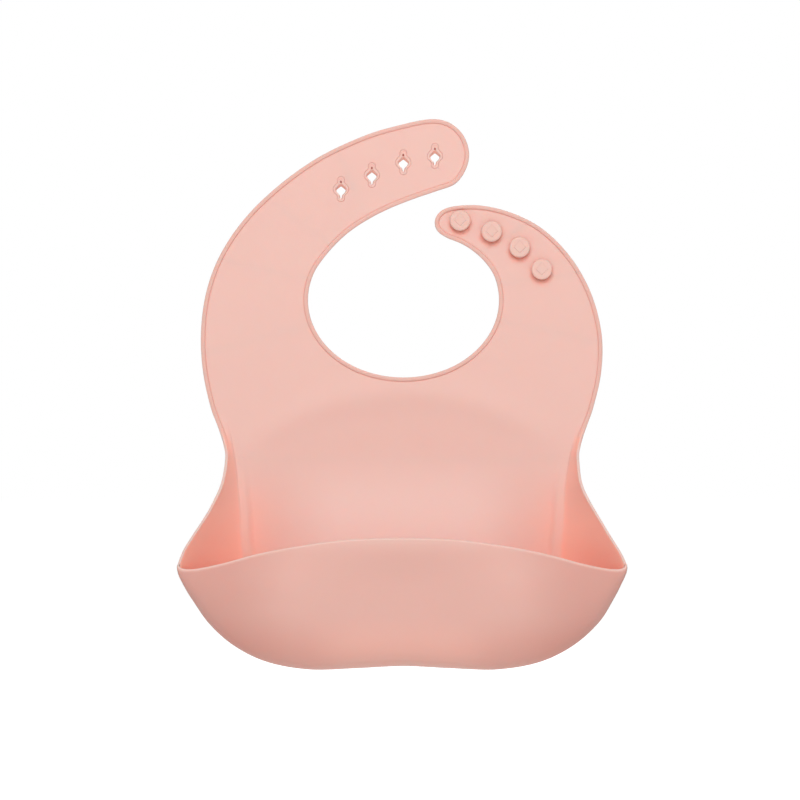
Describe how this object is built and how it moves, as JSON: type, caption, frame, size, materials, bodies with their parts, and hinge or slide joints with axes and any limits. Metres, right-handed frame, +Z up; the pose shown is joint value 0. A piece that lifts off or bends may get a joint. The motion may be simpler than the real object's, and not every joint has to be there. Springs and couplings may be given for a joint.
{
  "type": "silicone bib",
  "caption": "Baby bib of soft silicone with an open catch pocket and two neck straps that fasten with studs in keyholes",
  "frame": {"origin": "centre of the neck opening, on the back face of the collar, where the wearer's neck holds the bib", "axes": "+X across to the strap with the studs, -Y out of the front, towards whoever feeds the wearer, +Z up"},
  "size_m": [0.2424, 0.051, 0.2999],
  "materials": {
    "silicone_sheet": "soft matt moulded silicone, salmon pink",
    "silicone_bead": "smooth rounded edge bead, slightly paler",
    "silicone_stud": "smooth moulded silicone stud"
  },
  "bodies": {
    "collar": {"collar": "silicone_sheet"},
    "hole_strap_root": {"hole_strap_root": "silicone_sheet"},
    "hole_strap_bend": {"hole_strap_bend": "silicone_sheet"},
    "hole_strap_middle": {"hole_strap_middle": "silicone_sheet"},
    "hole_strap_tip": {"hole_strap_tip": "silicone_sheet"},
    "button_strap_root": {"button_strap_root": "silicone_sheet", "stud_4": "silicone_stud"},
    "button_strap_middle": {"button_strap_middle": "silicone_sheet", "stud_2": "silicone_stud", "stud_3": "silicone_stud"},
    "button_strap_tip": {"button_strap_tip": "silicone_sheet", "stud_1": "silicone_stud"},
    "pocket": {"pocket_yoke": "silicone_sheet", "pocket_back": "silicone_sheet", "left_side_wall": "silicone_sheet", "right_side_wall": "silicone_sheet", "left_rim": "silicone_bead", "right_rim": "silicone_bead", "pocket_base": "silicone_sheet", "left_end_wall": "silicone_sheet", "right_end_wall": "silicone_sheet", "pocket_fold": "silicone_sheet"},
    "pocket_front": {"pocket_front": "silicone_sheet", "pocket_lip": "silicone_bead"}
  },
  "joints": [
    {"name": "hole_strap_curl", "type": "hinge", "parent": "collar", "child": "hole_strap_root", "pos_m": [-0.075, -0.0009, 0], "axis": [-1, 0, 0], "range_deg": [-15, 32], "stiffness_Nm_per_rad": 0.015},
    {"name": "hole_strap_curl_2", "type": "hinge", "parent": "hole_strap_root", "child": "hole_strap_bend", "pos_m": [-0.06797, -0.0009, 0.0317], "axis": [-0.9063, 0, 0.4226], "range_deg": [-15, 32], "stiffness_Nm_per_rad": 0.015},
    {"name": "hole_strap_curl_3", "type": "hinge", "parent": "hole_strap_bend", "child": "hole_strap_middle", "pos_m": [-0.0492, -0.0009, 0.0566], "axis": [-0.6561, 0, 0.7547], "range_deg": [-15, 32], "stiffness_Nm_per_rad": 0.015},
    {"name": "hole_strap_curl_4", "type": "hinge", "parent": "hole_strap_middle", "child": "hole_strap_tip", "pos_m": [-0.00914, -0.0009, 0.07444], "axis": [-0.1219, 0, 0.9925], "range_deg": [-15, 32], "stiffness_Nm_per_rad": 0.015},
    {"name": "button_strap_curl", "type": "hinge", "parent": "collar", "child": "button_strap_root", "pos_m": [0.075, -0.0009, 0], "axis": [-1, 0, 0], "range_deg": [-15, 32], "stiffness_Nm_per_rad": 0.015},
    {"name": "button_strap_curl_2", "type": "hinge", "parent": "button_strap_root", "child": "button_strap_middle", "pos_m": [0.07133, -0.0009, 0.02318], "axis": [-0.9511, 0, -0.309], "range_deg": [-15, 32], "stiffness_Nm_per_rad": 0.015},
    {"name": "button_strap_curl_3", "type": "hinge", "parent": "button_strap_middle", "child": "button_strap_tip", "pos_m": [0.0521, -0.0009, 0.05395], "axis": [-0.6947, 0, -0.7193], "range_deg": [-15, 32], "stiffness_Nm_per_rad": 0.015},
    {"name": "pocket_fold_up", "type": "hinge", "parent": "collar", "child": "pocket", "pos_m": [0, -0.0009, -0.072], "axis": [-1, 0, 0], "range_deg": [-30, 110], "stiffness_Nm_per_rad": 0.05, "springref_deg": 14.32},
    {"name": "pocket_open", "type": "hinge", "parent": "pocket", "child": "pocket_front", "pos_m": [0, -0.012, -0.198], "axis": [1, 0, 0], "range_deg": [-12, 18], "stiffness_Nm_per_rad": 0.3, "springref_deg": -1.49, "deforming": ["pocket_fold"]}
  ],
  "couplings": [
    {"joint": "hole_strap_curl_2", "follows": "hole_strap_curl", "ratio": 1},
    {"joint": "hole_strap_curl_3", "follows": "hole_strap_curl", "ratio": 1},
    {"joint": "hole_strap_curl_4", "follows": "hole_strap_curl", "ratio": 1},
    {"joint": "button_strap_curl_2", "follows": "button_strap_curl", "ratio": 1},
    {"joint": "button_strap_curl_3", "follows": "button_strap_curl", "ratio": 1}
  ]
}
